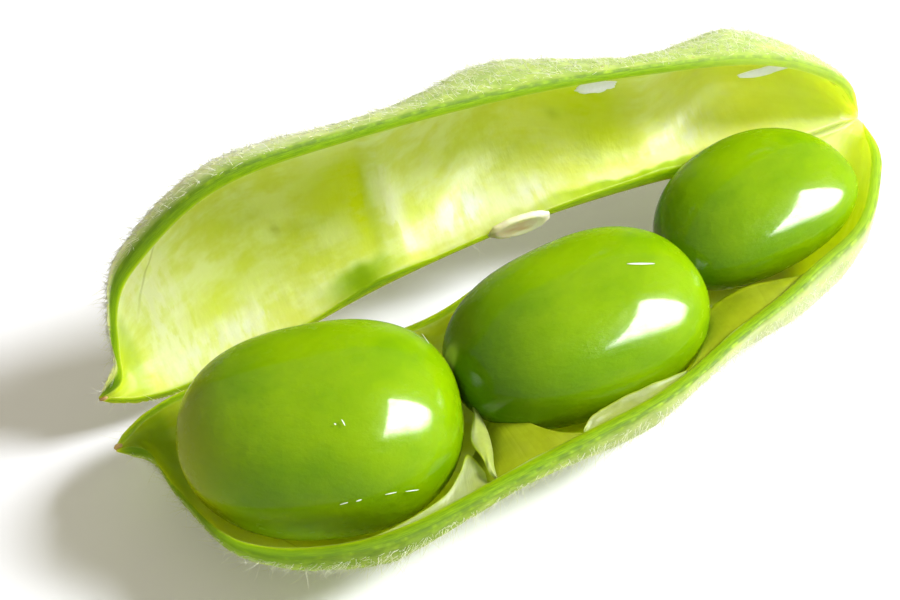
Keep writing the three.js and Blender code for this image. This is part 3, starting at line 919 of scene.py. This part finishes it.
# Rings of radius r round the dish: height = dish + rim x bell(r), bulging a little underneath.
def scarPiece():
    lean, a = ballAngles(scar["rings"], scar["sides"])
    r = np.sin(lean) ** 0.8
    rim, radius, width = scar["rim"]
    top = (scar["dish"] + rim * bump(r, radius, width)) * np.sqrt(np.maximum(1 - r**6, 0))
    height = np.where(lean < np.pi / 2, top, scar["under"] * np.cos(lean))
    grain = 1 + 0.03 * noise2(a * 5, r * 4, 44, 2)
    x, y = r * np.cos(a) * grain, r * np.sin(a) * grain
    grid = joined(x * scar["half"][0], y * scar["half"][1], height)
    centre = smooth(0.65, 0.3, r) * (lean < np.pi / 2) * (0.6 + 0.4 * noise2(x * 4, y * 4, 45))
    leaf = closedEnds(grid, joined(1 - centre, 0.0, r))[1]
    placedBall("stalkScar", grid, scar, standing, scarCream, {"leaf": leaf})


scarPiece()

# Brown knobs at the tips of both beaks, in their valve's axes.
knobs = [
    {"name": "knobLying", "valve": lying, "at": (47.1, 0.28, 0.0), "half": (0.25, 0.16, 0.14),
     "turn": 0},
    {"name": "knobStanding", "valve": standing, "at": (47.0, 0.28, 0.0), "half": (0.25, 0.15, 0.13),
     "turn": 0},
]
knobMesh = {"rings": 24, "sides": 32, "lumpy": 0.16}


# A ball times its half sizes, with its girth made lumpy by noise.
def knobPiece(knob, seed):
    rings, sides = knobMesh["rings"], knobMesh["sides"]
    lean, a = ballAngles(rings, sides)
    lumpy = 1 + knobMesh["lumpy"] * noise2(np.cos(a) * 2 + 8, lean * 2 + np.sin(a), seed, 2)
    grid = roundGrid(rings, sides, lumpy) * knob["half"]
    placedBall(knob["name"], grid, knob, knob["valve"], cork)


for number, knob in enumerate(knobs):
    knobPiece(knob, 120 + number)

# Down: a short coat over both skins and longer single hairs; lengths and radius in mm. lift and lean are a
# hair's parts outwards and towards the beak, levels its rings from root to tip.
down = {
    "shortLying": {
        "count": 11000, "length": (0.25, 0.7), "radius": 0.014, "lean": 0.8, "scatter": 0.6, "lift": 0.6,
        "curl": 0.35, "levels": (0, 0.5, 1.0)},
    "shortStanding": {
        "count": 11000, "length": (0.3, 0.85), "radius": 0.019, "lean": 0.9, "scatter": 0.6, "lift": 0.4,
        "curl": 0.35, "levels": (0, 0.5, 1.0)},
    "long": {
        "count": 2200, "length": (0.6, 1.5), "radius": 0.016, "lean": 0.7, "scatter": 0.6, "lift": 0.85,
        "curl": 0.8, "levels": (0, 0.3, 0.65, 1.0)},
}
hair = {
    "sides": 3,
    "sunk": 0.04,  # how deep the roots are
    "droop": 0.25,
    "tip": 0.15,  # radius at the tip as a share
    "clear": 0.02,  # height that the hairs keep over the floor
}


# Each hair is a thin three-sided spike along root + length (t d + t^2 bend), rooted at random over the skin.
def downPiece(name, valve, look, seed):
    skin = skins[valve["name"]]
    rng = np.random.default_rng(seed)
    count = look["count"]
    du, dv = np.diff(skin, axis=0)[:, :-1], np.diff(skin, axis=1)[:-1]
    normal = np.cross(du, dv)
    area = np.linalg.norm(normal, axis=-1)
    area[:, :1] = 0
    area[:, easedArc(shell["arc"])[1:] > 1 - valve["bald"]] = 0
    inwards = np.sum(unit(normal) * (skin[:-1, :-1] - skin.mean(1, keepdims=True)[:-1]), -1).mean() < 0
    normal = unit(normal) * (-1 if inwards else 1)
    share = np.cumsum(area.ravel()) / area.sum()
    i, j = np.unravel_index(np.searchsorted(share, rng.random(count)), area.shape)
    a, b = rng.random((2, count, 1))
    root = skin[i, j] + du[i, j] * a + dv[i, j] * b - normal[i, j] * hair["sunk"]
    forward = unit(du[i, j])
    aside = np.cross(normal[i, j], forward)
    spread = rng.normal(0, look["scatter"], (count, 4))
    start = normal[i, j] * look["lift"] + forward * (look["lean"] + spread[:, :1]) + aside * spread[:, 1:2]
    start = unit(start)
    bend = (forward * spread[:, 2:3] + aside * spread[:, 3:]) * look["curl"] - normal[i, j] * hair["droop"]
    low, high = look["length"]
    length = low + (high - low) * rng.random((count, 1)) ** 1.5
    across = unit(np.cross(start, normal[i, j] + 0.3 * aside))
    other = np.cross(start, across)
    sides = hair["sides"]
    turns = 2 * np.pi * np.arange(sides)[None, None, :, None] / sides
    level = np.array(look["levels"])[None, :, None]
    middle = root[:, None] + length[:, None] * (start[:, None] * level + bend[:, None] * 0.5 * level**2)
    radius = look["radius"] * (1 - (1 - hair["tip"]) * level[..., None])
    ring = across[:, None, None] * np.cos(turns) + other[:, None, None] * np.sin(turns)
    points = (middle[:, :, None] + radius * ring).reshape(-1, 3)
    points[:, 2] = np.maximum(points[:, 2], hair["clear"])
    rows = len(look["levels"])
    each = rows * sides
    caps = np.array([(2, 1, 0), (each - 3, each - 2, each - 1)])
    first = (np.arange(count) * each)[:, None, None]
    groups = (roundFaces(rows, sides), caps)
    faces = [(first + group[None]).reshape(-1, group.shape[1]) for group in groups]
    newPiece(name, points, faces, downHair)


for number, (valve, suffix) in enumerate(((lying, "Lying"), (standing, "Standing"))):
    downPiece("down" + suffix, valve, down["short" + suffix], 101 + number)
    downPiece("longHairs" + suffix, valve, down["long"], 201 + number)

# Camera: target in mm, azimuth from the front, elevation, distance, roll and lens.
camera = {
    "target": (-3.73, 3.75, 4.05),
    "azimuth": -18.91,
    "elevation": 50.0,
    "distance": 90.0,
    "roll": -9.0,
    "lens": 63.54,
    "sensor": 36,
    "clip": (0.001, 10),
}


def addCamera():
    a, e = math.radians(camera["azimuth"]), math.radians(camera["elevation"])
    back = Vector((math.sin(a) * math.cos(e), -math.cos(a) * math.cos(e), math.sin(e)))
    level = Vector((math.cos(a), math.sin(a), 0))
    lens = bpy.data.cameras.new("camera")
    lens.lens = camera["lens"]
    lens.sensor_width = camera["sensor"]
    lens.clip_start, lens.clip_end = camera["clip"]
    holder = bpy.data.objects.new("camera", lens)
    bpy.context.scene.collection.objects.link(holder)
    roll = math.radians(camera["roll"])
    up = back.cross(level)
    right = level * math.cos(roll) + up * math.sin(roll)
    top = up * math.cos(roll) - level * math.sin(roll)
    place = (Vector(camera["target"]) + back * camera["distance"]) * mm
    holder.matrix_world = Matrix.Translation(place) @ Matrix((right, top, back)).transposed().to_4x4()
    bpy.context.scene.camera = holder


# A soft key that lights and casts the shadow, and a window that only shows as a reflection; azimuth from +X.
lamps = {
    "key": {
        "azimuth": -24, "elevation": 40, "away": 0.40, "size": (0.12, 0.12), "turn": 0, "power": 3.1,
        "colour": (0.91, 0.93, 1.0), "lights": True, "reflects": False},
    "window": {
        "azimuth": -32, "elevation": 26, "away": 0.40, "size": (0.50, 0.42), "turn": 20, "power": 25.0,
        "colour": (1.0, 1.0, 1.0), "lights": False, "reflects": True},
}
sky = {"colour": (1.0, 0.93, 0.74, 1), "strength": 0.4}
# Edges of the window's pane, in shares of its width and height: place at the foot, slant, softness.
pane = {
    "right": (0.57, 0.26, 0.03),
    "left": (0.26, -0.28, 0.26),
    "low": 0.34,  # softness of the lower edge
}


# The window's pane: bright in a shape that narrows downwards, soft along its left and lower edge.
def shapePane(lamp):
    lamp.use_nodes = True
    tree = lamp.node_tree
    across, up, _ = partsOf(tree, addNode(tree, "ShaderNodeNewGeometry").outputs["Parametric"])
    mask = ramped(tree, up, 0.0, pane["low"])
    for side, sign in (("right", -1), ("left", 1)):
        foot, slant, soft = pane[side]
        edge = maths(tree, "ADD", times(tree, up, slant), foot)
        inside = times(tree, maths(tree, "SUBTRACT", across, edge), sign)
        mask = times(tree, mask, ramped(tree, inside, 0.0, soft))
    emission = next(node for node in tree.nodes if node.type == "EMISSION")
    tree.links.new(mask, emission.inputs["Strength"])


def addLights():
    for name, look in lamps.items():
        lamp = bpy.data.lights.new(name, "AREA")
        lamp.shape = "RECTANGLE"
        lamp.size, lamp.size_y = look["size"]
        lamp.energy = look["power"]
        lamp.color = look["colour"]
        holder = bpy.data.objects.new(name, lamp)
        a, e = math.radians(look["azimuth"]), math.radians(look["elevation"])
        toward = Vector((math.cos(e) * math.cos(a), math.cos(e) * math.sin(a), math.sin(e)))
        holder.location = toward * look["away"]
        facing = toward.to_track_quat("Z", "Y").to_matrix()
        holder.rotation_euler = (facing @ Matrix.Rotation(math.radians(look["turn"]), 3, "Z")).to_euler()
        holder.visible_diffuse = look["lights"]
        holder.visible_transmission = look["lights"]
        holder.visible_glossy = look["reflects"]
        if look["reflects"]:
            shapePane(lamp)
        bpy.context.scene.collection.objects.link(holder)
    world = bpy.data.worlds.new("sky")
    world.use_nodes = True
    light = {"Color": sky["colour"], "Strength": sky["strength"]}
    setInputs(world.node_tree, world.node_tree.nodes["Background"], light)
    bpy.context.scene.world = world


# The floor is a little below the pod, so that the two don't touch.
ground = {"half": 600.0, "below": 0.02}


def addFloor():
    material, tree, shader = newMaterial("paleFloor")
    setInputs(tree, shader, {
        "Base Color": tone(246, 246, 247), "Roughness": 0.9, "Specular IOR Level": 0.1,
        "Emission Color": (1.0, 0.96, 0.84, 1), "Emission Strength": 0.08})
    half, z = ground["half"], -ground["below"]
    points = np.array([(-half, -half, z), (half, -half, z), (half, half, z), (-half, half, z)]) * mm
    mesh = bpy.data.meshes.new("floor")
    mesh.from_pydata(points.tolist(), [], [(0, 1, 2, 3)])
    mesh.materials.append(material)
    floor = bpy.data.objects.new("floor", mesh)
    floor.visible_glossy = False
    bpy.context.scene.collection.objects.link(floor)


addCamera()
addLights()
addFloor()
bpy.context.scene.view_settings.view_transform = "Standard"
print("stage ready")
